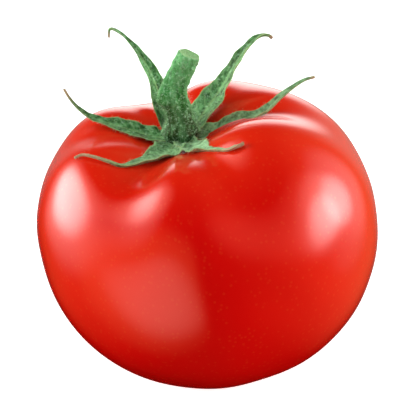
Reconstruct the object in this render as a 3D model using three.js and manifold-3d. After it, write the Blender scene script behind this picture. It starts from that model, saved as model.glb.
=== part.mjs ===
// A ripe beefsteak tomato as picked: one furrowed fruit, a green cut stem and six sepals.
// Millimetres, +Z up. The origin is on the surface that the fruit rests on, under the
// middle of the whole object. Azimuths are in degrees from +X towards +Y; the front is -Y.
import * as THREE from 'three';
import { mergeVertices } from 'three/addons/utils/BufferGeometryUtils.js';
import Module from 'manifold-3d';

const wasm = await Module();
wasm.setup();

// ---------- driving dimensions ----------
// fruit
const EQUATOR_RADIUS = 38.7;
const HEIGHT_ABOVE = 31.2;         // equator to the shoulders
const HEIGHT_BELOW = 36.4;         // equator to the blossom end
const FULLNESS_ABOVE = 0.84;       // exponent of the profile: lower is squarer
const FULLNESS_BELOW = 0.967;
const CAVITY_DEPTH = 11;           // the dished hollow round the stem
const CAVITY_RADIUS = 14.5;
const AXIS_TILT = 8;               // degrees, the stem end leans to -X
const STEM_END_SHIFT = -3.4;       // the cavity sits this far off the fruit's own axis
const SHIFT_REACH = 0.95;          // radians from the stem end that the shift reaches
const FLAT_DEPTH = 1.2;            // how much the resting spot is flattened
const FRUIT_SEGMENTS = 64;
const FRUIT_RINGS = 44;

// one entry per furrow between two lobes: where it runs, its depth as a share of the
// radius, its half width in degrees, and the share of its depth left at the equator
const FURROWS = [
  { azimuth: -72, depth: 0.105, width: 20, tail: 0.28 },
  { azimuth: 5, depth: 0.090, width: 22, tail: 0.30 },
  { azimuth: 50, depth: 0.035, width: 24, tail: 0.29 },
  { azimuth: 97, depth: 0.050, width: 18, tail: 0.30 },
  { azimuth: 117, depth: 0.090, width: 25, tail: 0.25 },
  { azimuth: 178, depth: 0.055, width: 20, tail: 0.20 },
  { azimuth: -116, depth: 0.060, width: 16, tail: 0.12 },
];
const HOLLOW = { x: -10.5, y: -13.5, depth: 4.4, radius: 9 };   // dent in the front left shoulder

// calyx: its own frame has the stem's base at the origin and +Z along the fruit's axis
const CALYX_HEIGHT = 3.2;          // stem base above the bottom of the cavity
const STEM_SPINE = [[0, -1.9], [0.2, 0.4], [0.3, 3], [0, 5.4], [0, 7.8], [0.6, 10.1],
  [1.5, 12.3], [2.9, 14.5], [4.1, 16.2], [4.9, 17.3]];          // [x, z]
const STEM_RADII = [3.2, 4.3, 3.7, 3.3, 3.2, 3.0, 2.7, 2.5, 2.4, 2.4];
const KNUCKLE = { at: 0.46, reach: 0.06, height: 0.7 };         // swollen joint on the -X side
const STEM_SEGMENTS = 16;
const STEM_RINGS = 20;

// one entry per sepal: azimuth, full width, roll in degrees, thickness, and a spine of
// [out, side, up] from the stem's base
const SEPALS = {
  sepal_right: { azimuth: 4, width: 4.6, roll: 14, thickness: 0.8, spine: [[5.2, 0, -1.2],
    [7.5, 0, -0.5], [9.8, 0, 0.3], [14.6, 0, 1.5], [19.3, 0, 2.3], [23.6, 0, 4.7], [28.4, 0, 7.1],
    [30.8, 0, 7.5]] },
  sepal_back_right: { azimuth: 44, width: 6.4, roll: 0, thickness: 1.0, spine: [[5.6, 0, -0.3],
    [9.6, 0, 2.4], [12.8, 0, 4.4], [18.7, 0, 8.7], [24.8, 0, 11.8], [28, 0, 12.3], [30.1, 0, 11.6],
    [31.2, 0, 10.5]] },
  sepal_back_left: { azimuth: 128, width: 5.8, roll: 0, thickness: 0.9, spine: [[5, 0, 0.4],
    [5.5, 0, 4.9], [7, 0, 9.8], [9, 0, 13.5], [14.8, 0, 18.7], [18.5, 0, 19.5], [21.4, 0, 19.3],
    [22.6, 0, 17.3]] },
  sepal_left: { azimuth: 170, width: 5, roll: -14, thickness: 0.8, spine: [[4.9, 0, -1.0],
    [7, 0, -0.4], [10.2, 0, 0.8], [17, 0, 3.4], [19.4, 0, 4.5], [21.8, 0, 6.7], [23.5, 0, 9.5],
    [24.4, 0, 11.1]] },
  sepal_front_left: { azimuth: 228, width: 5.8, roll: -6, thickness: 0.8, spine: [[5.2, 1.3, -1.7],
    [8.3, 1.2, -1.4], [12.7, 0.4, -0.9], [15.9, 0, -0.6], [18.6, -0.5, 0.1], [20.3, -2.6, 1.3],
    [21.6, -5.9, 2.4], [22.3, -8.6, 2.6], [23, -10.8, 2.0]] },
  sepal_front_right: { azimuth: 300, width: 5.6, roll: 4, thickness: 0.8, spine: [[5.2, -1.1, -1.3],
    [9.3, -1.3, 0], [12.7, -1.1, 1.0], [16.2, -0.3, 1.8], [18.9, 0.7, 2.2], [20.9, 2.1, 2.7],
    [22, 3.6, 3.2]] },
};
const SEPAL_CUP = 0.35;            // how far the edges turn up, as a share of the half width
const SEPAL_SEGMENTS = 10;
const SEPAL_RINGS = 18;

const radians = THREE.MathUtils.degToRad;
const smoothstep = THREE.MathUtils.smoothstep;

// ---------- fruit ----------
function bell(value, width) {
  return Math.exp(-((value / width) ** 2));
}

// degrees from one azimuth to another, -180 to 180
function turn(from, to) {
  return THREE.MathUtils.euclideanModulo(to - from + 180, 360) - 180;
}

// how deep the furrows cut at polar angle u and an azimuth in degrees, as a share of the radius
function furrowDepth(u, azimuth) {
  const start = 1 - bell(u, 0.3);
  const end = 1 - smoothstep(u, 2.2, 3.0);
  let depth = 0;
  for (const furrow of FURROWS) {
    const along = furrow.tail + (1 - furrow.tail) * bell(u - 0.55, 0.62);
    depth += furrow.depth * along * bell(turn(furrow.azimuth, azimuth), furrow.width);
  }
  return depth * start * end;
}

// the fruit's skin for one direction: polar angle u from the stem end and azimuth phi
function skinPoint(u, phi) {
  const above = Math.cos(u) >= 0;
  const fullness = above ? FULLNESS_ABOVE : FULLNESS_BELOW;
  const height = above ? HEIGHT_ABOVE : -HEIGHT_BELOW;
  const share = 1 - furrowDepth(u, THREE.MathUtils.radToDeg(phi));
  const radius = EQUATOR_RADIUS * share * Math.abs(Math.sin(u)) ** fullness;
  const x = radius * Math.cos(phi);
  const y = radius * Math.sin(phi);
  let z = height * Math.abs(Math.cos(u)) ** fullness * (above ? share : 0.3 + 0.7 * share);
  z -= CAVITY_DEPTH * bell(radius, CAVITY_RADIUS) * smoothstep(Math.cos(u), -0.1, 0.5);
  if (above) {
    z -= HOLLOW.depth * bell(Math.hypot(x - HOLLOW.x, y - HOLLOW.y), HOLLOW.radius);
  }
  return new THREE.Vector3(x + STEM_END_SHIFT * bell(u, SHIFT_REACH), y, z);
}

function toSolid(geometry) {
  const bare = geometry.clone();
  bare.deleteAttribute('normal');
  bare.deleteAttribute('uv');
  const merged = mergeVertices(bare, 1e-5);
  const mesh = new wasm.Mesh({
    numProp: 3,
    vertProperties: new Float32Array(merged.attributes.position.array),
    triVerts: new Uint32Array(merged.index.array),
  });
  return new wasm.Manifold(mesh);
}

function toGeometry(solid) {
  const mesh = solid.getMesh();
  const geometry = new THREE.BufferGeometry();
  geometry.setAttribute('position', new THREE.BufferAttribute(mesh.vertProperties, 3));
  geometry.setIndex(new THREE.BufferAttribute(mesh.triVerts, 1));
  geometry.computeVertexNormals();
  return geometry;
}

// the tilted fruit, standing with its lowest point FLAT_DEPTH below z = 0
function wholeFruit() {
  const geometry = new THREE.SphereGeometry(1, FRUIT_SEGMENTS, FRUIT_RINGS);
  geometry.rotateX(Math.PI / 2);
  const position = geometry.attributes.position;
  const direction = new THREE.Vector3();
  for (let i = 0; i < position.count; i += 1) {
    direction.fromBufferAttribute(position, i).normalize();
    const u = Math.acos(THREE.MathUtils.clamp(direction.z, -1, 1));
    const point = skinPoint(u, Math.atan2(direction.y, direction.x));
    position.setXYZ(i, point.x, point.y, point.z);
  }
  geometry.rotateY(radians(-AXIS_TILT));
  geometry.computeBoundingBox();
  const drop = geometry.boundingBox.min.z + FLAT_DEPTH;
  geometry.translate(0, 0, -drop);
  return { geometry, drop };
}

function flattenBottom(geometry) {
  const side = 4 * EQUATOR_RADIUS;
  const ground = new THREE.BoxGeometry(side, side, side);
  ground.translate(0, 0, -side / 2);
  return toGeometry(toSolid(geometry).subtract(toSolid(ground)));
}

// ---------- stem and sepals ----------
// frames along a curve: the side direction is carried along without twisting
function framesAlong(curve, rings, firstSide) {
  const frames = [];
  let side = firstSide.clone();
  for (let i = 0; i <= rings; i += 1) {
    const point = curve.getPointAt(i / rings);
    const tangent = curve.getTangentAt(i / rings);
    side = side.clone().addScaledVector(tangent, -side.dot(tangent)).normalize();
    const face = new THREE.Vector3().crossVectors(tangent, side);
    frames.push({ point, side, face });
  }
  return frames;
}

// a closed skin round a curve; section(t, x, y) gives the side and face offsets in mm
function sweep(curve, segments, rings, firstSide, section) {
  const geometry = new THREE.CylinderGeometry(1, 1, 1, segments, rings);
  const frames = framesAlong(curve, rings, firstSide);
  const position = geometry.attributes.position;
  for (let i = 0; i < position.count; i += 1) {
    const t = position.getY(i) + 0.5;
    const frame = frames[Math.round(t * rings)];
    const [sideways, facing] = section(t, position.getX(i), -position.getZ(i));
    const point = frame.point.clone();
    point.addScaledVector(frame.side, sideways);
    point.addScaledVector(frame.face, facing);
    position.setXYZ(i, point.x, point.y, point.z);
  }
  geometry.computeVertexNormals();
  return geometry;
}

function between(values, t) {
  const place = t * (values.length - 1);
  const i = Math.min(Math.floor(place), values.length - 2);
  return THREE.MathUtils.lerp(values[i], values[i + 1], place - i);
}

function stemGeometry() {
  const curve = new THREE.CatmullRomCurve3(STEM_SPINE.map(([x, z]) => new THREE.Vector3(x, 0, z)));
  const section = (t, x, y) => {
    const knuckle = KNUCKLE.height * bell(t - KNUCKLE.at, KNUCKLE.reach) * Math.max(0, -x);
    const radius = between(STEM_RADII, t) + knuckle;
    return [radius * x, radius * y];
  };
  return sweep(curve, STEM_SEGMENTS, STEM_RINGS, new THREE.Vector3(1, 0, 0), section);
}

// share of the full width along a sepal: necked at its foot, then tapering to a fine tip
function sepalTaper(t) {
  return 0.12 + 0.88 * (1 - t) ** 0.8 * (1 - 0.3 * Math.exp(-t / 0.08));
}

function sepalGeometry({ width, roll, thickness, spine }) {
  const curve = new THREE.CatmullRomCurve3(spine.map((point) => new THREE.Vector3(...point)));
  const section = (t, x, y) => {
    const half = width / 2 * sepalTaper(t);
    const thick = thickness / 2 * (1 - 0.4 * t);
    return [half * x, thick * y + SEPAL_CUP * half * x * x];
  };
  const firstSide = new THREE.Vector3(0, Math.cos(radians(roll)), Math.sin(radians(roll)));
  return sweep(curve, SEPAL_SEGMENTS, SEPAL_RINGS, firstSide, section);
}

// ---------- the object ----------
function named(name, geometry, colour, roughness) {
  const material = new THREE.MeshStandardMaterial({ color: colour, roughness, metalness: 0 });
  const mesh = new THREE.Mesh(geometry, material);
  mesh.name = name;
  return mesh;
}

// the stem and sepals in their own frame, set over the bottom of the cavity
function buildCalyx(drop) {
  const calyx = new THREE.Group();
  const axis = new THREE.Vector3(0, 1, 0);
  const base = skinPoint(0, 0).add(new THREE.Vector3(0, 0, CALYX_HEIGHT));
  calyx.position.copy(base.applyAxisAngle(axis, radians(-AXIS_TILT)));
  calyx.position.z -= drop;
  calyx.rotation.y = radians(-AXIS_TILT);
  calyx.add(named('stem', stemGeometry(), '#5f9463', 0.75));
  for (const [name, sepal] of Object.entries(SEPALS)) {
    const turned = new THREE.Group();
    turned.rotation.z = radians(sepal.azimuth);
    turned.add(named(name, sepalGeometry(sepal), '#4a8a50', 0.7));
    calyx.add(turned);
  }
  return calyx;
}

function buildTomato() {
  const plant = new THREE.Group();
  const { geometry, drop } = wholeFruit();
  plant.add(named('fruit', flattenBottom(geometry), '#c8100a', 0.22));
  plant.add(buildCalyx(drop));
  const tomato = new THREE.Group();
  tomato.add(plant);
  tomato.updateMatrixWorld(true);
  const middle = new THREE.Box3().setFromObject(tomato, true).getCenter(new THREE.Vector3());
  plant.position.set(-middle.x, -middle.y, 0);
  return tomato;
}

export default buildTomato();
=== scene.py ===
"""A ripe tomato with its cut stem and sepals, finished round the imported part.

Every length is in metres in the part's own frame: +Z is up, -Y is the front and the
origin is on the surface under the middle of the object. Azimuths run from +X towards +Y.
"""

import math

import bpy
import numpy as np
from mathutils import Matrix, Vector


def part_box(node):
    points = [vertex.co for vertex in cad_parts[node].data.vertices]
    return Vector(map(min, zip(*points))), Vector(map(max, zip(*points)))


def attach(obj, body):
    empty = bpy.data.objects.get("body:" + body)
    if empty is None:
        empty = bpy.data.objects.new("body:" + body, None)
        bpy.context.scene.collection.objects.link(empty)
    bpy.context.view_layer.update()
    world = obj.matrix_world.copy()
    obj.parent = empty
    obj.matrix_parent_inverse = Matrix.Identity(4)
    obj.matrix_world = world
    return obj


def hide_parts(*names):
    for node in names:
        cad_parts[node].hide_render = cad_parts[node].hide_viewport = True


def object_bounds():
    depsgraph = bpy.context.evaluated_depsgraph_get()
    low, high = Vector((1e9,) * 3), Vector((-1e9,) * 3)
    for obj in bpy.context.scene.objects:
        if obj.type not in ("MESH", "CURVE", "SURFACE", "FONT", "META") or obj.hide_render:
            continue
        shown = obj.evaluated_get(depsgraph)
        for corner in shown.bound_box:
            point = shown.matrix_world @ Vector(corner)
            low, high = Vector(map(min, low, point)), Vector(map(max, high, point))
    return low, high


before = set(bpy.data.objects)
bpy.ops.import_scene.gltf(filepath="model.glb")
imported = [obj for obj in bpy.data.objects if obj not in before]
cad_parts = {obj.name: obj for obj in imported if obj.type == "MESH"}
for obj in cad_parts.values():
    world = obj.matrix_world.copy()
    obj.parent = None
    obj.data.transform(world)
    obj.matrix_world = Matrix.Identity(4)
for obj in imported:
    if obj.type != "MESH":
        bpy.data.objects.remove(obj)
CAD_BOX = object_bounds()

bl_info = {
    "name": "Tomato with stem",
    "version": (1, 0, 0),
    "blender": (4, 5, 0),
    "location": "3D View > Sidebar > Tomato",
    "description": "Builds a ripe tomato, its cut stem, its sepals and a plain studio",
    "category": "Object",
}

MM = 0.001

# one row per furrow between two lobes: azimuth, depth as a share of the radius, half width
# in degrees, and the share of its depth left at the equator
FURROWS = [
    (-70, 0.100, 19, 0.28),
    (5, 0.090, 22, 0.30),
    (50, 0.035, 24, 0.29),
    (97, 0.050, 18, 0.30),
    (117, 0.090, 25, 0.25),
    (178, 0.055, 20, 0.20),
    (-116, 0.060, 16, 0.12),
]

# small folds in the skin round the cavity: azimuth, distance from the axis in mm, height in
# mm (below zero is a crease), half width in degrees and reach along the fold in mm
PLEATS = [
    (170, 17, 0.4, 8, 6),
    (195, 18, -0.3, 9, 7),
    (120, 15, 0.5, 9, 5),
    (80, 16, 0.3, 9, 5),
]

# the dent in the front left shoulder: its middle, its reach and its depth in mm
DENT = {"x": -9.4, "y": -15.2, "reach": 10, "stretch_x": 1.12, "depth": 4.6}
FLAT_DEPTH = 1.2 * MM  # how far the resting spot is pressed into the fruit
FLAT_EDGE = 0.7 * MM  # how softly the flat spot turns up into the round
SCAR_REACH, SCAR_HEIGHT = 2.2 * MM, 0.5 * MM  # the blossom scar underneath
SHIFT_REACH = 0.95  # radians from the stem end over which the cavity is shifted
CALYX_HEIGHT = 3.2 * MM  # the stem's base above the bottom of the cavity

# the stem's centre line in the calyx's frame, [x, z] in mm, and its radius at even steps
STEM_SPINE = [
    (0, -1.9), (0.3, 0.4), (0.6, 3), (0.4, 5.4), (0.2, 7.8),
    (0.6, 10.1), (1.5, 12.3), (2.9, 14.5), (4.0, 16.2), (4.7, 17.4),
]
STEM_RADII = [3.6, 4.4, 3.4, 2.85, 2.8, 2.75, 2.6, 2.5, 2.45, 2.4]
# the swollen joint: its place and its reach below and above as shares of the length, its
# height in mm, and how far round from the -X side it sits, in radians
KNUCKLE = {"at": 0.475, "below": 0.04, "above": 0.13, "height": 1.3, "side": 0.35}
# rings over the cut end into the pith: size as a share of the stem's, and depth in mm
CUT_END = [(0.97, -0.04), (0.88, 0.02), (0.74, 0.1), (0.55, 0.14), (0.32, 0.3), (0.14, 0.5)]

# one entry per sepal, in the calyx's frame turned to its azimuth: half widths in mm at even
# steps from foot to tip, roll in degrees, thickness in mm, how hard its edges turn up, how
# ragged they are, how much pale down covers it together with painted light that makes the
# front and right sepals paler, the share of its length that is dry at the tip, and its
# centre line [out, side, up] in mm
SEPALS = {
    "right": {
        "azimuth": 4, "half_widths": [1.7, 2.3, 2.1, 1.95, 1.5, 1.1, 0.85, 0.45, 0.3],
        "roll": 14, "thickness": 0.9, "cup": 0.5, "ragged": 0.05, "down_and_painted_light": 0.45, "dry": 0.05,
        "spine": [(3.0, 0, -1.7), (5.2, 0, -2.2), (7.5, 0, -1.7), (9.8, 0, -1.0), (14.6, 0, 0.3),
                  (18.9, 0, 1.2), (23.2, 0, 4.3), (28.4, 0, 7.2), (30.9, 0, 7.6)],
    },
    "back_right": {
        "azimuth": 44, "half_widths": [3.6, 4.4, 3.4, 2.5, 2.0, 1.6, 1.1, 0.6, 0.3],
        "roll": 0, "thickness": 1.0, "cup": 0.5, "ragged": 0.03, "down_and_painted_light": 0.18, "dry": 0.05,
        "spine": [(3.0, 0, -1.2), (5.8, 0, -0.3), (10.0, 0, 2.2), (13.4, 0, 4.2), (19.0, 0, 8.5),
                  (24.8, 0, 11.8), (28, 0, 12.3), (30.1, 0, 11.6), (31.2, 0, 10.5)],
    },
    "back_left": {
        "azimuth": 128, "half_widths": [2.4, 2.7, 2.4, 2.05, 1.3, 0.7, 0.42, 0.3, 0.2],
        "roll": 0, "thickness": 0.9, "cup": 0.5, "ragged": 0.035, "down_and_painted_light": 0.14, "dry": 0.06,
        "spine": [(3.4, 0, -1.2), (5, 0, 0.4), (5.5, 0, 4.9), (7, 0, 9.8), (9.0, 0, 13.3),
                  (14.5, 0, 18.2), (18.5, 0, 19.6), (21.4, 0, 19.5), (22.4, 0, 17.3)],
    },
    "left": {
        "azimuth": 170, "half_widths": [2.2, 2.7, 2.3, 1.9, 1.65, 1.2, 0.55, 0.26, 0.2],
        "roll": -14, "thickness": 0.9, "cup": 0.5, "ragged": 0.05, "down_and_painted_light": 0.15, "dry": 0.14,
        "spine": [(3.0, 0, -1.5), (4.9, 0, -1.6), (7, 0, -1.0), (10.2, 0, 0.3), (16.6, 0, 3.0),
                  (19.4, 0, 4.3), (21.9, 0, 6.7), (23.6, 0, 9.5), (24.4, 0, 11.6)],
    },
    "front_left": {
        "azimuth": 229, "half_widths": [3.2, 3.8, 3.0, 2.1, 1.05, 0.36, 0.27, 0.25, 0.2],
        "roll": -6, "thickness": 0.8, "cup": 0.3, "ragged": 0.05, "down_and_painted_light": 0.35, "dry": 0.42,
        "spine": [(3.2, 0.9, -1.9), (5.2, 1.5, -2.5), (8.3, 1.5, -2.3), (12.7, 0.7, -1.7),
                  (15.9, 0.1, -1.2), (18.3, -0.6, -0.5), (20.0, -2.6, 0.9), (21.3, -5.9, 2.0),
                  (21.9, -8.4, 2.1), (22.5, -10.2, 1.3)],
    },
    "front_right": {
        "azimuth": 300, "half_widths": [2.2, 2.8, 2.9, 2.5, 1.1, 0.55, 0.6, 0.75, 0.5],
        "roll": 4, "thickness": 0.8, "cup": 0.4, "ragged": 0.13, "down_and_painted_light": 0.7, "dry": 0.3,
        "spine": [(3.2, -0.8, -1.6), (5.2, -1.1, -2.1), (9.3, -1.3, -1.1), (12.7, -1.1, -0.1),
                  (16.2, -0.3, 0.7), (18.9, 0.7, 1.1), (20.9, 2.1, 1.9), (22, 3.7, 2.6)],
    },
}

# one row per soft light that the glossy skin reflects: azimuth, elevation and half angle in
# degrees, strength, tint, and 1 where a screen keeps it off the right half; each main light
# is a white core in wide warm skirts, and the last two are a soft box behind the object
SOFTBOXES = [
    (-14, 13, 24, 6.2, "#ffffff", 0),
    (8, 14, 23, 5.4, "#ffffff", 0),
    (-12, 20, 36, 2.6, "#ffe4dc", 0),
    (14, 13, 42, 1.6, "#fff0ec", 0),
    (-26, 26, 42, 1.7, "#ff9478", 0),
    (8, 8, 78, 1.8, "#ff8955", 0),
    (163, 18, 34, 8.0, "#ffffff", 0),
    (168, 16, 50, 2.6, "#ffe8e0", 0),
    (172, 4, 70, 1.1, "#ff7c46", 0),
    (168, 44, 30, 1.9, "#ffb8a0", 1),
    (-124, -26, 36, 1.8, "#ffd0c8", 1),
    (-130, -14, 62, 2.6, "#ff8955", 1),
    (90, 4, 21, 2.1, "#fff0ee", 0),
    (88, -4, 38, 0.5, "#ffd8c8", 0),
]

# the soft lights for the matt colours: name, azimuth, elevation, size in metres, and watts
FILLS = [
    ("fill_front", -90, 4, 0.9, 1.9),
    ("fill_right", -8, 14, 0.5, 6.6),
    ("fill_left", 184, 18, 0.4, 6.8),
    ("fill_top", 0, 86, 0.9, 3.2),
    ("fill_back", 95, 24, 0.9, 3.6),
    ("fill_below", -90, -48, 0.9, 3.4),
]
FILL_DISTANCE = 0.9
FLOOR_REACH = 6.0
FLOOR_DROP = 0.02 * MM  # keeps the floor clear of the flat spot
AIM = (0, 0.14 * MM, 0.63 * MM)  # where the camera points, from the middle of the part
LENS_MM = 150
WHITE = (1, 1, 1, 1)


# ---------- small tools ----------


def linear(code):
    """The linear colour of an sRGB hex code, with its alpha."""
    channels = []
    for i in (1, 3, 5):
        c = int(code[i : i + 2], 16) / 255
        channels.append(c / 12.92 if c <= 0.04045 else ((c + 0.055) / 1.055) ** 2.4)
    return (*channels, 1.0)


def bell(value, width):
    """A smooth bump, 1 in the middle and near 0 two widths away."""
    return np.exp(-((value / width) ** 2))


def smoothstep(value, low, high):
    """Rises from 0 at low to 1 at high."""
    share = np.clip((value - low) / (high - low), 0, 1)
    return share * share * (3 - 2 * share)


def turn(start, azimuth):
    """Degrees from one azimuth to another, -180 to 180."""
    return (azimuth - start + 180) % 360 - 180


def eased(values, share):
    """The value at each share of the way along a list of even steps, with its corners eased."""
    even = np.linspace(0, 1, 401)
    dense = np.interp(even, np.linspace(0, 1, len(values)), values)
    dense = np.convolve(np.pad(dense, 24, mode="edge"), np.ones(49) / 49, mode="valid")
    return np.interp(share, even, dense)


def ripple(points, wavelength, seed):
    """A smooth random wave over space, about -1 to 1, that is the same on every run."""
    rng = np.random.default_rng(seed)
    directions = rng.normal(size=(14, 3))
    directions /= np.linalg.norm(directions, axis=1)[:, None]
    steps = 2 * math.pi / (wavelength * rng.uniform(0.75, 1.6, 14))
    phases = rng.uniform(0, 2 * math.pi, 14)
    waves = np.sin(points @ (directions * steps[:, None]).T + phases)
    return waves.sum(axis=-1) / 3.7


def curve_through(points, count):
    """Evenly spaced points along a smooth curve through the given ones."""
    given = np.asarray(points, float)
    ends = np.vstack([2 * given[0] - given[1], given, 2 * given[-1] - given[-2]])
    share = np.linspace(0, 1, 40, endpoint=False)[:, None]
    pieces = []
    for a, b, c, d in zip(ends, ends[1:], ends[2:], ends[3:]):
        ab, bc, cd = (np.linalg.norm(q - p) ** 0.5 for p, q in ((a, b), (b, c), (c, d)))
        leave = bc * ((b - a) / ab - (c - a) / (ab + bc) + (c - b) / bc)
        arrive = bc * ((c - b) / bc - (d - b) / (bc + cd) + (d - c) / cd)
        square = (3 * (c - b) - 2 * leave - arrive) * share**2
        pieces.append(b + leave * share + square + (2 * (b - c) + leave + arrive) * share**3)
    dense = np.vstack(pieces + [given[-1:]])
    length = np.concatenate([[0], np.cumsum(np.linalg.norm(np.diff(dense, axis=0), axis=1))])
    even = np.linspace(0, length[-1], count)
    return np.column_stack([np.interp(even, length, dense[:, k]) for k in range(3)])


def frames_along(line, first_side):
    """Side, face and tangent vectors along a line; the side is carried without twisting."""
    tangents = np.gradient(line, axis=0)
    tangents /= np.linalg.norm(tangents, axis=1)[:, None]
    sides = np.empty_like(line)
    side = np.asarray(first_side, float)
    for i, tangent in enumerate(tangents):
        side = side - side.dot(tangent) * tangent
        side = side / np.linalg.norm(side)
        sides[i] = side
    return sides, np.cross(tangents, sides), tangents


def rotation(axis, degrees):
    """A 3 x 3 turn about Y or Z."""
    c, s = math.cos(math.radians(degrees)), math.sin(math.radians(degrees))
    if axis == "Y":
        return np.array([[c, 0, s], [0, 1, 0], [-s, 0, c]])
    return np.array([[c, -s, 0], [s, c, 0], [0, 0, 1]])


def make_piece(name, vertices, faces, material, values=None):
    """A smooth-shaded object that rides on the part, with its per-point values."""
    mesh = bpy.data.meshes.new(name)
    mesh.from_pydata(np.asarray(vertices).tolist(), [], faces)
    mesh.validate()
    mesh.shade_smooth()
    for key, numbers in (values or {}).items():
        attribute = mesh.attributes.new(key, "FLOAT", "POINT")
        attribute.data.foreach_set("value", np.asarray(numbers, np.float32).ravel())
    mesh.materials.append(material)
    piece = bpy.data.objects.new(name, mesh)
    bpy.context.scene.collection.objects.link(piece)
    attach(piece, "root")
    return piece


def ring_faces(rings, segments):
    """Faces of a closed skin made of rings of points, with one more point at each end."""
    faces = []
    for here in range(0, (rings - 1) * segments, segments):
        there = here + segments
        for j in range(segments):
            k = (j + 1) % segments
            faces.append((here + j, here + k, there + k, there + j))
    first, last = rings * segments, rings * segments + 1
    top = (rings - 1) * segments
    for j in range(segments):
        k = (j + 1) % segments
        faces.append((first, k, j))
        faces.append((last, top + j, top + k))
    return faces


def add_node(tree, kind, inputs=None, stops=None, **settings):
    """Adds one shader node with its settings, its values or links, and any colour stops."""
    made = tree.nodes.new(kind)
    for key, value in settings.items():
        setattr(made, key, value)
    for socket, value in (inputs or {}).items():
        if isinstance(value, bpy.types.NodeSocket):
            tree.links.new(value, made.inputs[socket])
        else:
            made.inputs[socket].default_value = value
    if stops:
        ramp = made.color_ramp
        while len(ramp.elements) < len(stops):
            ramp.elements.new(1.0)
        for element, (place, colour) in zip(ramp.elements, stops):
            element.position, element.color = place, colour
    return made


def blend(tree, factor, first, second):
    """The mix of two colours."""
    inputs = {"Factor": factor, 6: first, 7: second}
    return add_node(tree, "ShaderNodeMix", inputs, data_type="RGBA").outputs[2]


def sum_of(tree, operation, *values):
    """The result of one sum on values or links."""
    return add_node(tree, "ShaderNodeMath", dict(enumerate(values)), operation=operation).outputs[0]


def spread(tree, value, low, high, top, bottom=0.0, easing="LINEAR"):
    """A value's place between low and high, stretched to run from bottom to top."""
    inputs = {"Value": value, "From Min": low, "From Max": high, "To Min": bottom, "To Max": top}
    return add_node(tree, "ShaderNodeMapRange", inputs, interpolation_type=easing).outputs[0]


def noise(tree, place, size_mm, detail=2.0, roughness=0.5):
    """Noise with features of about this size."""
    inputs = {"Vector": place, "Scale": per_metre(size_mm)}
    inputs.update({"Detail": detail, "Roughness": roughness})
    return add_node(tree, "ShaderNodeTexNoise", inputs).outputs["Fac"]


def stored(tree, name):
    """A value stored on the mesh's points."""
    return add_node(tree, "ShaderNodeAttribute", attribute_name=name).outputs["Fac"]


def bumps(tree, height, strength, depth_mm):
    """Small relief in the shading, this deep."""
    inputs = {"Height": height, "Strength": strength, "Distance": depth_mm * MM}
    return add_node(tree, "ShaderNodeBump", inputs).outputs[0]


def cover(tree, output, inputs):
    """Gives a material its surface."""
    surface = add_node(tree, "ShaderNodeBsdfPrincipled", inputs)
    tree.links.new(surface.outputs[0], output.inputs["Surface"])


def opaque(colour):
    """A setting's colour with its alpha."""
    return tuple(colour) + (1,)


def per_metre(size_mm):
    """Texture scale that gives features of about this size."""
    return 1000 / size_mm


def new_material(name):
    """An empty material with its node tree and output node."""
    material = bpy.data.materials.new(name)
    material.use_nodes = True
    material.node_tree.nodes.clear()
    output = material.node_tree.nodes.new("ShaderNodeOutputMaterial")
    return material, material.node_tree, output


# ---------- fruit ----------


def furrow_depth(u, azimuth):
    """How deep the furrows cut at polar angle u, as a share of the radius."""
    depth = np.zeros_like(u)
    for start, deep, width, tail in FURROWS:
        along = tail + (1 - tail) * bell(u - 0.55, 0.62)
        depth = depth + deep * along * bell(turn(start, azimuth), width)
    return depth * (1 - bell(u, 0.3)) * (1 - smoothstep(u, 2.2, 3.0))


def pleat_height(radius, azimuth):
    """The small folds round the cavity."""
    height = np.zeros_like(radius)
    for start, distance, tall, width, reach in PLEATS:
        fold = bell(radius - distance * MM, reach * MM)
        height = height + tall * MM * bell(turn(start, azimuth), width) * fold
    return height


def skin_points(shape, u, azimuth):
    """Points of the skin before the fruit is tilted and set down."""
    above = np.cos(u) >= 0
    share = 1 - furrow_depth(u, azimuth)
    fullness = np.where(above, shape.fullness_above, shape.fullness_below)
    radius = shape.equator_radius * share * np.abs(np.sin(u)) ** fullness
    x = radius * np.cos(np.radians(azimuth))
    y = radius * np.sin(np.radians(azimuth))
    height = np.where(above, shape.height_above * share, -shape.height_below * (0.3 + 0.7 * share))
    z = height * np.abs(np.cos(u)) ** fullness
    cavity = shape.cavity_depth * bell(radius, shape.cavity_radius)
    z = z - cavity * smoothstep(np.cos(u), -0.1, 0.5)
    from_dent = np.hypot((x - DENT["x"] * MM) / DENT["stretch_x"], y - DENT["y"] * MM)
    dent = DENT["depth"] * MM * bell(from_dent, DENT["reach"] * MM)
    z = z + np.where(above, pleat_height(radius, azimuth) - dent, 0)
    x = x - shape.stem_end_shift * bell(u, SHIFT_REACH)
    return np.stack([x, y, z], axis=-1)


def set_down(shape, points, lift):
    """Tilts skin points and lifts them onto the surface, flat where the fruit rests."""
    tilted = points @ rotation("Y", -math.degrees(shape.axis_tilt)).T
    tilted[..., 2] += lift
    height = tilted[..., 2]
    pressed = np.clip(height + FLAT_EDGE, 0, None) ** 2 / (4 * FLAT_EDGE)
    tilted[..., 2] = np.where(height > FLAT_EDGE, height, pressed)
    return tilted


def plant_place(shape):
    """How far up and sideways the plant's own frame sits in the part's frame."""
    u, azimuth = np.meshgrid(np.linspace(0, math.pi, 90), np.arange(0, 360, 3.0), indexing="ij")
    tilted = skin_points(shape, u, azimuth) @ rotation("Y", -math.degrees(shape.axis_tilt)).T
    lift = -tilted[..., 2].min() - FLAT_DEPTH
    low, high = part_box("fruit")
    middle = (tilted.min(axis=(0, 1)) + tilted.max(axis=(0, 1))) / 2
    sideways = np.array([(low.x + high.x) / 2, (low.y + high.y) / 2, 0]) - middle * [1, 1, 0]
    return lift, sideways


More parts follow.
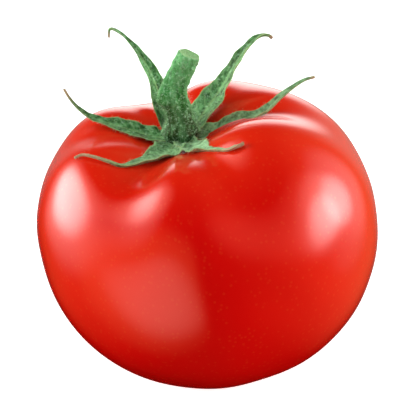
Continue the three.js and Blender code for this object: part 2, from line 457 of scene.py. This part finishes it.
def calyx_to_part(shape, points):
    """Moves points from the calyx's frame, whose origin is the stem's base, to the part's."""
    lift, sideways = plant_place(shape)
    bottom = skin_points(shape, np.zeros(1), np.zeros(1))[0]
    base = rotation("Y", -math.degrees(shape.axis_tilt)) @ (bottom + [0, 0, CALYX_HEIGHT])
    turned = points @ rotation("Y", -math.degrees(shape.axis_tilt)).T
    return turned + base + sideways + [0, 0, lift]


def ripe_tomato_skin(look):
    """Waxy skin of a ripe tomato, as grown: a thin clear cuticle over red flesh.

    The cuticle gives soft white highlights, and the flesh under it a deep, slightly
    translucent red with pale flecks.
    """
    material, tree, output = new_material("ripe_tomato_skin")
    place = add_node(tree, "ShaderNodeTexCoord").outputs["Object"]
    clouds = noise(tree, place, 16, detail=3.0)
    base = blend(tree, clouds, opaque(look.red), opaque(look.warm_red))
    warm = blend(tree, stored(tree, "shoulder"), base, opaque(look.shoulder))
    # the flecks are 0.1 mm on a real fruit, and are drawn three times as wide to show
    flecks = add_node(tree, "ShaderNodeTexVoronoi", {"Vector": place, "Scale": per_metre(1.3)})
    fleck_mask = spread(tree, flecks.outputs["Distance"], 0.3, 0.12, 0.05)
    flecked = blend(tree, fleck_mask, warm, linear("#f2863f"))
    scar = stored(tree, "scar")
    colour = blend(tree, scar, flecked, linear("#8a6238"))
    rough = spread(tree, clouds, 0.0, 1.0, look.roughness + 0.02, look.roughness - 0.02)
    inputs = {"Factor": scar, 2: rough, 3: 0.85}
    scarred = add_node(tree, "ShaderNodeMix", inputs, data_type="FLOAT")
    cover(
        tree,
        output,
        {
            "Base Color": colour,
            "Roughness": scarred.outputs[0],
            "Normal": bumps(tree, noise(tree, place, 0.6), 0.25, 0.03),
            "IOR": 1.45,
            "Subsurface Weight": 0.1,
            "Subsurface Radius": (1.0, 0.1, 0.05),
            "Subsurface Scale": 2 * MM,
            "Coat Weight": 0.25,
            "Coat Roughness": 0.12,
            "Coat IOR": 1.45,
        },
    )
    return material


# ---------- stem and sepals ----------


def fuzz(tree, place, colour, size_mm, low, pale):
    """Lays a fine pale nap over a colour, in patches of about this size."""
    nap = noise(tree, place, size_mm, 4.0, 0.65)
    return blend(tree, spread(tree, nap, low, low + 0.16, 0.6), colour, linear(pale))


def hairy_stem_tissue(look):
    """Green stem of a fruit truss, as grown: ribbed, matt and covered in short pale hairs.

    Its green is painted near black at the foot, as painted shade under the sepals, and paler
    towards the top.
    """
    material, tree, output = new_material("hairy_stem_tissue")
    place = add_node(tree, "ShaderNodeTexCoord").outputs["Object"]
    # painted shade: the green runs from near black at the foot, where the sepals shade it, to pale
    # green at the top
    green_with_painted_foot_shade = add_node(
        tree,
        "ShaderNodeValToRGB",
        {"Fac": stored(tree, "along")},
        stops=[
            (0.0, linear("#062b05")),
            (0.3, linear("#093d0c")),
            (0.55, linear("#2a7433")),
            (1.0, linear("#62ae6a")),
        ],
    )
    stretched = add_node(tree, "ShaderNodeMapping", {"Vector": place, "Scale": (1, 1, 0.3)})
    streaks = noise(tree, stretched.outputs[0], 0.8, 5.0, 0.6)
    dark_mask = spread(tree, streaks, 0.5, 0.38, 0.5)
    darkened = blend(tree, dark_mask, green_with_painted_foot_shade.outputs["Color"], linear("#052705"))
    streaked = blend(tree, spread(tree, streaks, 0.52, 0.7, 0.5), darkened, opaque(look.pale))
    rib_mask = sum_of(tree, "MULTIPLY", stored(tree, "rib"), 0.25)
    ribbed = blend(tree, rib_mask, streaked, opaque(look.pale))
    fuzzy = fuzz(tree, place, ribbed, 0.6, 0.54, "#b8ecc2")
    cut_mask = sum_of(tree, "MULTIPLY", stored(tree, "cut"), 0.6)
    cover(
        tree,
        output,
        {
            "Base Color": blend(tree, cut_mask, fuzzy, linear("#8fb57c")),
            "Roughness": 0.6,
            "Normal": bumps(tree, noise(tree, place, 0.6, 4.0), 0.9, 0.25),
            "IOR": 1.42,
            "Specular IOR Level": 0.25,
            "Sheen Weight": 0.05,
            "Sheen Roughness": 0.5,
            "Sheen Tint": linear("#d6ecd8"),
        },
    )
    return material


def sepal_leaf_tissue(look):
    """Leafy green sepal, as grown: thin and matt, with a pale midrib, veins and edges.

    The pale lines give each leaf its channel, and the dry tips turn tan.
    """
    material, tree, output = new_material("sepal_leaf_tissue")
    place = add_node(tree, "ShaderNodeTexCoord").outputs["Object"]
    mottle = noise(tree, place, 1.5, 6.0, 0.68)
    green = add_node(
        tree,
        "ShaderNodeValToRGB",
        {"Fac": mottle},
        stops=[(0.36, opaque(look.dark)), (0.5, opaque(look.green)), (0.66, opaque(look.pale))],
    )
    off_middle = sum_of(tree, "ABSOLUTE", stored(tree, "across"))
    midrib = spread(tree, off_middle, 0.14, 0.02, 0.45)
    # side veins leave the midrib about every 2 mm and run towards the tip, none of them straight
    lean = sum_of(tree, "MULTIPLY_ADD", off_middle, -0.11, stored(tree, "along"))
    stray = sum_of(tree, "MULTIPLY_ADD", mottle, 0.09, lean)
    wave = sum_of(tree, "SINE", sum_of(tree, "MULTIPLY", stray, 85.0))
    lines = sum_of(tree, "MAXIMUM", midrib, spread(tree, wave, 0.72, 1.0, 0.28))
    lined = blend(tree, lines, green.outputs["Color"], opaque(look.edge))
    # pale down, with painted light that makes the front and right sepals paler, lies in the
    # same patches as the lighter green
    patchy = spread(tree, mottle, 0.38, 0.6, 1.5, 0.3)
    down = sum_of(tree, "MULTIPLY", stored(tree, "down_and_painted_light"), patchy)
    paled_by_down_and_light = blend(tree, down, lined, linear("#a9d8a4"))
    fuzzy = fuzz(tree, place, paled_by_down_and_light, 0.7, 0.53, "#b8e8be")
    speck_mask = spread(tree, noise(tree, place, 1.0, 3.0), 0.4, 0.3, 0.65)
    specked = blend(tree, speck_mask, fuzzy, linear("#1b350f"))
    rimmed = blend(tree, spread(tree, off_middle, 0.86, 0.98, 0.75), specked, opaque(look.edge))
    parched = blend(tree, mottle, linear("#7a7054"), opaque(look.dry))
    relief = sum_of(tree, "MULTIPLY_ADD", lines, 0.8, mottle)
    cover(
        tree,
        output,
        {
            "Base Color": blend(tree, stored(tree, "dry"), rimmed, parched),
            "Roughness": 0.55,
            "Normal": bumps(tree, relief, 0.8, 0.3),
            "IOR": 1.42,
            "Specular IOR Level": 0.25,
            "Sheen Weight": 0.05,
            "Sheen Roughness": 0.5,
            "Sheen Tint": linear("#dff0da"),
            "Subsurface Weight": 0.08,
            "Subsurface Radius": (0.5, 1.0, 0.3),
            "Subsurface Scale": 0.6 * MM,
        },
    )
    return material


def plant_hair():
    """Fine plant hair, as grown: colourless and thin, so it catches light as a pale fuzz."""
    material, tree, output = new_material("plant_hair")
    place = add_node(tree, "ShaderNodeTexCoord").outputs["Object"]
    colour = blend(tree, noise(tree, place, 2.5), linear("#86cc88"), linear("#d6f5d6"))
    cover(tree, output, {"Base Color": colour, "Roughness": 0.5, "IOR": 1.5, "Sheen Weight": 0.3})
    return material


def stem_points(rings, segments):
    """Rings of points up the stem, over its cut end and down into its pith."""
    line = curve_through([(x * MM, 0, z * MM) for x, z in STEM_SPINE], rings)
    sides, faces, tangents = frames_along(line, (1, 0, 0))
    share = np.linspace(0, 1, rings)
    angle = np.linspace(0, 2 * math.pi, segments, endpoint=False)
    t, around = np.meshgrid(share, angle, indexing="ij")
    radius = np.interp(t, np.linspace(0, 1, len(STEM_RADII)), STEM_RADII) * MM
    past = t - KNUCKLE["at"]
    swelling = bell(past, np.where(past > 0, KNUCKLE["above"], KNUCKLE["below"]))
    one_side = np.clip(-np.cos(around - KNUCKLE["side"]), 0, None) ** 1.5
    knuckle = KNUCKLE["height"] * MM * swelling * one_side
    ribs = np.cos(5 * around + 2.4 * t + 0.7)
    radius = radius * (1 + 0.04 * ribs) + knuckle
    offset = sides[:, None] * np.cos(around)[..., None]
    offset = offset + faces[:, None] * np.sin(around)[..., None]
    points = line[:, None] + offset * radius[..., None]
    rough = 0.12 * MM * ripple(points, 3 * MM, 5) + 0.06 * MM * ripple(points, 1.1 * MM, 6)
    points = points + offset * rough[..., None]
    caps = []
    for shrink, down in CUT_END:
        ring = line[-1] + (points[-1] - line[-1]) * shrink - tangents[-1] * down * MM
        rough = 0.1 * MM * ripple(ring, 1.2 * MM, 9)
        caps.append(ring + tangents[-1] * rough[:, None] * (1 - shrink))
    points = np.concatenate([points, np.stack(caps)])
    on_cut = np.ones((len(caps), segments))
    values = {
        "along": np.concatenate([t, on_cut]),
        "rib": np.concatenate([np.clip(ribs, 0, 1), 0 * on_cut]),
        "cut": np.concatenate([0 * t, on_cut]),
    }
    return points, values


def sepal_points(sepal, seed, rings, segments):
    """Rings of points along one sepal, which is a thin channelled blade with wavy edges."""
    line = curve_through(np.array(sepal["spine"]) * MM, rings)
    roll = math.radians(sepal["roll"])
    sides, faces, _ = frames_along(line, (0, math.cos(roll), math.sin(roll)))
    share = np.linspace(0, 1, rings)
    angle = np.linspace(0, 2 * math.pi, segments, endpoint=False)
    t, around = np.meshgrid(share, angle, indexing="ij")
    x = np.sign(np.cos(around)) * np.abs(np.cos(around)) ** 0.85
    y = np.sin(around)
    edge_points = np.stack([t * 30 * MM, np.sign(x) * MM * 9, np.zeros_like(t)], axis=-1)
    nibbles = ripple(edge_points, 3.2 * MM, seed) + 0.5 * ripple(edge_points, 1.2 * MM, seed + 9)
    ragged = np.where(np.abs(x) > 0.2, 1 + sepal["ragged"] * nibbles, 1)
    half = eased(sepal["half_widths"], t) * MM * ragged
    ruffle = ripple(edge_points, 4 * MM, seed + 50) * 0.2 * half * x * x
    thick = sepal["thickness"] * MM / 2 * (1 - 0.45 * t) * (1 - 0.45 * np.abs(x) ** 3)
    midrib = np.where(y < 0, -0.35 * MM * (1 - 0.6 * t) * bell(x, 0.28), -0.12 * MM * bell(x, 0.2))
    facing = thick * y + sepal["cup"] * half * np.abs(x) ** 1.7 + ruffle + midrib
    points = line[:, None] + sides[:, None] * (half * x)[..., None]
    points = points + faces[:, None] * facing[..., None]
    values = {
        "along": t,
        "across": x,
        "dry": smoothstep(t, 1 - sepal["dry"], 1 - 0.35 * sepal["dry"]),
        # pale down, and painted light that makes the front and right sepals paler
        "down_and_painted_light": np.full_like(t, sepal["down_and_painted_light"]),
    }
    return points @ rotation("Z", sepal["azimuth"]).T, values


def ring_skin(points):
    """Vertices and faces of a closed skin from rings of points."""
    rings, segments = points.shape[:2]
    ends = [points[0].mean(axis=0), points[-1].mean(axis=0)]
    return np.vstack([points.reshape(-1, 3), ends]), ring_faces(rings, segments)


def ring_values(values):
    """Per-point values with the two end points added."""
    ends = {key: [value[0].mean(), value[-1].mean()] for key, value in values.items()}
    return {key: np.concatenate([value.ravel(), ends[key]]) for key, value in values.items()}


def hair_skin(roots, directions, lengths, thickness, rng):
    """Vertices and faces of many fine tapered hairs, each a closed three-sided spike."""
    vertices, faces = [], []
    for root, direction, length in zip(roots, directions, lengths):
        side = np.cross(direction, rng.normal(size=3))
        side = side / (np.linalg.norm(side) + 1e-12)
        other = np.cross(direction, side)
        bend = side * length * rng.uniform(-0.25, 0.25)
        first = len(vertices)
        for height, width, lean in ((0.0, 1.0, 0.0), (0.55, 0.75, 0.4)):
            centre = root + direction * length * height + bend * lean
            for k in range(3):
                angle = 2 * math.pi * k / 3
                spoke = side * math.cos(angle) + other * math.sin(angle)
                vertices.append(centre + spoke * thickness / 2 * width)
        vertices.append(root + direction * length + bend)
        faces.append((first + 2, first + 1, first))
        for k in range(3):
            n = (k + 1) % 3
            faces.append((first + k, first + n, first + 3 + n, first + 3 + k))
            faces.append((first + 3 + k, first + 3 + n, first + 6))
    return vertices, faces


def scatter_roots(piece, count, rng, weights=None):
    """Random places on a piece's skin with their outward directions."""
    mesh = piece.data
    points = np.empty(len(mesh.vertices) * 3)
    normals = np.empty(len(mesh.vertices) * 3)
    mesh.vertices.foreach_get("co", points)
    mesh.vertices.foreach_get("normal", normals)
    area = np.zeros(len(mesh.vertices))
    for polygon in mesh.polygons:
        area[list(polygon.vertices)] += polygon.area
    if weights is not None:
        area = area * weights
    chosen = rng.choice(len(area), count, p=area / area.sum())
    return points.reshape(-1, 3)[chosen], normals.reshape(-1, 3)[chosen]


# ---------- settings ----------


class TomatoFruitSettings(bpy.types.PropertyGroup):
    equator_radius: bpy.props.FloatProperty(
        name="Equator radius", description="Radius of the fruit before its furrows",
        default=38.7 * MM, min=20 * MM, max=60 * MM, unit="LENGTH", subtype="DISTANCE", precision=4)
    height_above: bpy.props.FloatProperty(
        name="Height above", description="Equator to the shoulders",
        default=31.2 * MM, unit="LENGTH", subtype="DISTANCE", precision=4)
    height_below: bpy.props.FloatProperty(
        name="Height below", description="Equator to the blossom end",
        default=36.4 * MM, unit="LENGTH", subtype="DISTANCE", precision=4)
    fullness_above: bpy.props.FloatProperty(
        name="Fullness above", description="Profile exponent of the upper half; lower is squarer",
        default=0.84, min=0.5, max=1.2)
    fullness_below: bpy.props.FloatProperty(
        name="Fullness below", description="Profile exponent of the lower half; lower is squarer",
        default=0.967, min=0.5, max=1.2)
    cavity_depth: bpy.props.FloatProperty(
        name="Cavity depth", description="Depth of the dished hollow round the stem",
        default=11 * MM, unit="LENGTH", subtype="DISTANCE", precision=4)
    cavity_radius: bpy.props.FloatProperty(
        name="Cavity radius", description="Reach of the dished hollow round the stem",
        default=14.5 * MM, unit="LENGTH", subtype="DISTANCE", precision=4)
    stem_end_shift: bpy.props.FloatProperty(
        name="Stem end shift", description="How far the cavity sits to the left of the axis",
        default=3.4 * MM, unit="LENGTH", subtype="DISTANCE", precision=4)
    axis_tilt: bpy.props.FloatProperty(
        name="Axis tilt", description="How far the stem end leans to the left",
        default=math.radians(8), unit="ROTATION", subtype="ANGLE")
    red: bpy.props.FloatVectorProperty(
        name="Red", description="Deep red of the ripe skin",
        default=linear("#d00402")[:3], min=0, max=1, subtype="COLOR")
    warm_red: bpy.props.FloatVectorProperty(
        name="Warm red", description="Lighter red that clouds the skin",
        default=linear("#da0a04")[:3], min=0, max=1, subtype="COLOR")
    shoulder: bpy.props.FloatVectorProperty(
        name="Shoulder", description="Orange cast round the stem end",
        default=linear("#e22c10")[:3], min=0, max=1, subtype="COLOR")
    roughness: bpy.props.FloatProperty(
        name="Roughness", description="Roughness of the skin under its cuticle",
        default=0.17, min=0, max=1, subtype="FACTOR")


class TomatoStemSettings(bpy.types.PropertyGroup):
    pale: bpy.props.FloatVectorProperty(
        name="Pale green", description="Colour of the stem's ribs and streaks",
        default=linear("#7cbf82")[:3], min=0, max=1, subtype="COLOR")


class TomatoSepalSettings(bpy.types.PropertyGroup):
    dark: bpy.props.FloatVectorProperty(
        name="Dark green", description="Darkest patches of a sepal",
        default=linear("#0a3308")[:3], min=0, max=1, subtype="COLOR")
    green: bpy.props.FloatVectorProperty(
        name="Green", description="Main colour of a sepal",
        default=linear("#1e6a26")[:3], min=0, max=1, subtype="COLOR")
    pale: bpy.props.FloatVectorProperty(
        name="Pale green", description="Lightest patches of a sepal",
        default=linear("#5ca860")[:3], min=0, max=1, subtype="COLOR")
    edge: bpy.props.FloatVectorProperty(
        name="Edge", description="Pale edges, midrib and veins",
        default=linear("#a4cf86")[:3], min=0, max=1, subtype="COLOR")
    dry: bpy.props.FloatVectorProperty(
        name="Dry tip", description="Tan of a tip that has dried",
        default=linear("#cbbd96")[:3], min=0, max=1, subtype="COLOR")


class TomatoHairSettings(bpy.types.PropertyGroup):
    thickness: bpy.props.FloatProperty(
        name="Thickness", description="Thickness of a hair at its root",
        default=0.03 * MM, unit="LENGTH", subtype="DISTANCE", precision=5)
    stem_count: bpy.props.IntProperty(
        name="Stem hairs", description="Number of hairs on the stem",
        default=1500, min=0, max=6000)
    sepal_count: bpy.props.IntProperty(
        name="Sepal hairs", description="Number of hairs on each sepal",
        default=450, min=0, max=3000)


class TomatoStageSettings(bpy.types.PropertyGroup):
    floor_colour: bpy.props.FloatVectorProperty(
        name="Floor colour", description="Colour of the plain floor",
        default=linear("#f4f4f4")[:3], min=0, max=1, subtype="COLOR")
    ambient: bpy.props.FloatProperty(
        name="Ambient light", description="Strength of the even light from all round",
        default=0.2, min=0)
    camera_elevation: bpy.props.FloatProperty(
        name="Camera elevation", description="How far the camera looks down",
        default=math.radians(26), unit="ROTATION", subtype="ANGLE")
    camera_distance: bpy.props.FloatProperty(
        name="Camera distance", description="Camera to the middle of the object",
        default=387.7 * MM, unit="LENGTH", subtype="DISTANCE", precision=4)


# ---------- operators ----------


class TOMATO_OT_fruit(bpy.types.Operator):
    """Build the fruit with its waxy red skin."""

    bl_idname = "tomato.fruit"
    bl_label = "Fruit"

    def execute(self, context):
        look = context.scene.tomato_fruit
        rings, segments = 236, 360
        u, azimuth = np.meshgrid(
            np.linspace(0, math.pi, rings + 2)[1:-1],
            np.arange(segments) * 360 / segments,
            indexing="ij",
        )
        lift, sideways = plant_place(look)
        bare = skin_points(look, u, azimuth)
        swell = 0.12 * MM * ripple(bare, 17 * MM, 2)[..., None]
        bare = bare + bare / np.linalg.norm(bare, axis=-1)[..., None] * swell
        points = set_down(look, bare, lift) + sideways
        poles = skin_points(look, np.array([0.0, math.pi]), np.zeros(2))
        poles = set_down(look, poles, lift) + sideways
        from_end = np.linalg.norm(points[..., :2] - poles[1, :2], axis=-1)
        scar = np.where(u > 2, bell(from_end, SCAR_REACH), 0)
        points[..., 2] += SCAR_HEIGHT * scar
        poles[1, 2] += SCAR_HEIGHT
        vertices = np.vstack([points.reshape(-1, 3), poles])
        faces = [face[::-1] for face in ring_faces(rings, segments)]
        shoulder = 0.75 * (1 - smoothstep(u, 0.35, 1.15))
        values = {
            "shoulder": np.concatenate([shoulder.ravel(), [0.75, 0]]),
            "scar": np.concatenate([smoothstep(scar, 0.35, 0.75).ravel(), [0, 1]]),
        }
        skin = ripe_tomato_skin(look)
        piece = make_piece("tomato_fruit", vertices, faces, skin, values)
        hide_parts("fruit")
        return {"FINISHED"}


class TOMATO_OT_stem(bpy.types.Operator):
    """Build the ribbed stem with its knuckle and cut end."""

    bl_idname = "tomato.stem"
    bl_label = "Stem"

    def execute(self, context):
        points, values = stem_points(110, 60)
        vertices, faces = ring_skin(points)
        vertices = calyx_to_part(context.scene.tomato_fruit, vertices)
        material = hairy_stem_tissue(context.scene.tomato_stem)
        values = ring_values(values)
        piece = make_piece("cut_stem", vertices, faces, material, values)
        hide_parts("stem")
        return {"FINISHED"}


class TOMATO_OT_sepals(bpy.types.Operator):
    """Build the six leafy sepals."""

    bl_idname = "tomato.sepals"
    bl_label = "Sepals"

    def execute(self, context):
        material = sepal_leaf_tissue(context.scene.tomato_sepals)
        for seed, (name, sepal) in enumerate(SEPALS.items()):
            points, values = sepal_points(sepal, 20 + seed, 120, 44)
            values = ring_values(values)
            vertices, faces = ring_skin(points)
            vertices = calyx_to_part(context.scene.tomato_fruit, vertices)
            piece = make_piece(f"leaf_{name}", vertices, faces, material, values)
            # this leaf would cut a dark gap in the light on the shoulder under it
            piece.visible_glossy = name != "right"
            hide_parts(f"sepal_{name}")
        return {"FINISHED"}


class TOMATO_OT_hairs(bpy.types.Operator):
    """Scatter the fine pale hairs over the stem and sepals."""

    bl_idname = "tomato.hairs"
    bl_label = "Hairs"

    def execute(self, context):
        look = context.scene.tomato_hairs
        material = plant_hair()
        rng = np.random.default_rng(11)
        stem = bpy.data.objects["cut_stem"]
        roots, normals = scatter_roots(stem, look.stem_count, rng)
        self.grow("stem_hairs", roots, normals, (0.4, 1.3), material, "stem_green", rng)
        for name in SEPALS:
            leaf = bpy.data.objects[f"leaf_{name}"]
            across = np.empty(len(leaf.data.vertices), np.float32)
            leaf.data.attributes["across"].data.foreach_get("value", across)
            weights = 0.25 + 6 * (np.abs(across) > 0.93)
            roots, normals = scatter_roots(leaf, look.sepal_count, rng, weights)
            self.grow(f"hairs_{name}", roots, normals, (0.25, 0.7), material, "sepal_green", rng)
        return {"FINISHED"}

    def grow(self, name, roots, normals, reach, material, slot, rng):
        """One piece of hairs standing out from a skin."""
        count = len(roots)
        directions = normals + rng.normal(scale=0.35, size=(count, 3))
        directions = directions / np.linalg.norm(directions, axis=1)[:, None]
        lengths = rng.uniform(*reach, count) * MM
        thickness = bpy.context.scene.tomato_hairs.thickness
        vertices, faces = hair_skin(roots, directions, lengths, thickness, rng)
        piece = make_piece(name, vertices, faces, material)
        piece.visible_glossy = False


def towards(azimuth, elevation):
    """The unit vector that points at an azimuth and elevation in degrees."""
    a, e = math.radians(azimuth), math.radians(elevation)
    return np.array([math.cos(a) * math.cos(e), math.sin(a) * math.cos(e), math.sin(e)])


def fill_light(name, azimuth, elevation, size, power, aim):
    """One square soft light for the matt colours; the studio's reflections come from its world."""
    data = bpy.data.lights.new(name, "AREA")
    data.size, data.energy = size, power
    data.cycles.use_multiple_importance_sampling = False
    light = bpy.data.objects.new(name, data)
    direction = towards(azimuth, elevation)
    light.location = aim + direction * FILL_DISTANCE
    light.rotation_mode = "QUATERNION"
    light.rotation_quaternion = Vector(direction.tolist()).to_track_quat("Z", "Y")
    light.visible_camera = False
    light.visible_glossy = False
    bpy.context.scene.collection.objects.link(light)


class TOMATO_OT_stage(bpy.types.Operator):
    """Set up the pale floor, the soft studio lights and the camera."""

    bl_idname = "tomato.stage"
    bl_label = "Stage"

    def execute(self, context):
        stage = context.scene.tomato_stage
        self.make_world(context.scene, stage)
        self.make_floor(stage)
        low, high = CAD_BOX
        middle = np.array([(low.x + high.x) / 2, (low.y + high.y) / 2, (low.z + high.z) / 2])
        self.make_lights(middle)
        self.make_camera(context.scene, stage, middle)
        return {"FINISHED"}

    def make_world(self, scene, stage):
        """White to the eye, soft boxes in the gloss and an even light on matt surfaces."""
        world = bpy.data.worlds.new("studio")
        scene.world = world
        world.use_nodes = True
        world.cycles.sampling_method = "NONE"
        tree = world.node_tree
        tree.nodes.clear()
        direction = add_node(tree, "ShaderNodeTexCoord").outputs["Generated"]
        axes = add_node(tree, "ShaderNodeSeparateXYZ", {0: direction})
        screen = spread(tree, axes.outputs["X"], 0.09, -0.07, 1.0, easing="SMOOTHSTEP")
        glow = (0, 0, 0)
        for azimuth, elevation, half_angle, strength, tint, screened in SOFTBOXES:
            aim = {0: direction, 1: towards(azimuth, elevation).tolist()}
            facing = add_node(tree, "ShaderNodeVectorMath", aim, operation="DOT_PRODUCT")
            rim = math.cos(math.radians(half_angle))
            fade = spread(tree, facing.outputs["Value"], rim, 1.0, 1.0, easing="SMOOTHSTEP")
            if screened:
                fade = sum_of(tree, "MULTIPLY", fade, screen)
            lobe = {0: [strength * channel for channel in linear(tint)[:3]], "Scale": fade}
            lobe = add_node(tree, "ShaderNodeVectorMath", lobe, operation="SCALE").outputs[0]
            added = add_node(tree, "ShaderNodeVectorMath", {0: lobe, 1: glow}, operation="ADD")
            glow = added.outputs[0]
        ambient = spread(tree, axes.outputs["Z"], -0.7, 0.1, stage.ambient, stage.ambient * 0.85)
        path = add_node(tree, "ShaderNodeLightPath")
        matt = add_node(tree, "ShaderNodeBackground", {"Color": WHITE, "Strength": ambient})
        gloss = add_node(tree, "ShaderNodeBackground", {"Color": glow})
        white = add_node(tree, "ShaderNodeBackground", {"Color": WHITE})
        by_ray = {0: path.outputs["Is Glossy Ray"], 1: matt.outputs[0], 2: gloss.outputs[0]}
        lit = add_node(tree, "ShaderNodeMixShader", by_ray)
        by_eye = {0: path.outputs["Is Camera Ray"], 1: lit.outputs[0], 2: white.outputs[0]}
        seen = add_node(tree, "ShaderNodeMixShader", by_eye)
        add_node(tree, "ShaderNodeOutputWorld", {"Surface": seen.outputs[0]})
        scene.view_settings.view_transform = "Standard"

    def make_floor(self, stage):
        """A wide plain floor that is left out of the fruit's gloss."""
        material, tree, output = new_material("matt_paper_backdrop")
        cover(
            tree,
            output,
            {
                "Base Color": opaque(stage.floor_colour),
                "Roughness": 0.9,
                "Specular IOR Level": 0.1,
                "Emission Color": WHITE,
                "Emission Strength": 0.8,
            },
        )
        mesh = bpy.data.meshes.new("floor")
        corners = [(-1, -1), (1, -1), (1, 1), (-1, 1)]
        corners = [(x * FLOOR_REACH, y * FLOOR_REACH, -FLOOR_DROP) for x, y in corners]
        mesh.from_pydata(corners, [], [(0, 1, 2, 3)])
        mesh.materials.append(material)
        floor = bpy.data.objects.new("floor", mesh)
        floor.visible_glossy = False
        floor.visible_diffuse = False
        floor.visible_shadow = False
        bpy.context.scene.collection.objects.link(floor)

    def make_lights(self, middle):
        """Soft fills that give the stem and sepals their light and shade."""
        for name, azimuth, elevation, size, power in FILLS:
            fill_light(name, azimuth, elevation, size, power, middle)

    def make_camera(self, scene, stage, middle):
        """A long lens at the height of someone looking down at a table."""
        data = bpy.data.cameras.new("camera")
        data.lens, data.sensor_width = LENS_MM, 36
        data.clip_start, data.clip_end = 0.01, 20
        camera = bpy.data.objects.new("camera", data)
        elevation = stage.camera_elevation
        back = np.array([0, -math.cos(elevation), math.sin(elevation)])
        camera.location = middle + AIM + back * stage.camera_distance
        camera.rotation_euler = (math.pi / 2 - elevation, 0, 0)
        scene.collection.objects.link(camera)
        scene.camera = camera


class TOMATO_PT_panel(bpy.types.Panel):
    bl_label = "Tomato"
    bl_idname = "TOMATO_PT_panel"
    bl_space_type = "VIEW_3D"
    bl_region_type = "UI"
    bl_category = "Tomato"

    def draw(self, context):
        for operator, settings in STEPS:
            box = self.layout.box()
            box.operator(operator.bl_idname)
            group = getattr(context.scene, settings)
            for key in group.__annotations__:
                box.prop(group, key)


STEPS = [
    (TOMATO_OT_fruit, "tomato_fruit"),
    (TOMATO_OT_stem, "tomato_stem"),
    (TOMATO_OT_sepals, "tomato_sepals"),
    (TOMATO_OT_hairs, "tomato_hairs"),
    (TOMATO_OT_stage, "tomato_stage"),
]
SETTINGS = {
    "tomato_fruit": TomatoFruitSettings,
    "tomato_stem": TomatoStemSettings,
    "tomato_sepals": TomatoSepalSettings,
    "tomato_hairs": TomatoHairSettings,
    "tomato_stage": TomatoStageSettings,
}


def register():
    for key, settings in SETTINGS.items():
        bpy.utils.register_class(settings)
        setattr(bpy.types.Scene, key, bpy.props.PointerProperty(type=settings))
    for operator, _ in STEPS:
        bpy.utils.register_class(operator)
    bpy.utils.register_class(TOMATO_PT_panel)


def unregister():
    bpy.utils.unregister_class(TOMATO_PT_panel)
    for operator, _ in reversed(STEPS):
        bpy.utils.unregister_class(operator)
    for key, settings in reversed(SETTINGS.items()):
        delattr(bpy.types.Scene, key)
        bpy.utils.unregister_class(settings)


def main():
    register()
    bpy.ops.tomato.fruit()
    bpy.ops.tomato.stem()
    bpy.ops.tomato.sepals()
    bpy.ops.tomato.hairs()
    bpy.ops.tomato.stage()


if __name__ == "__main__":
    main()
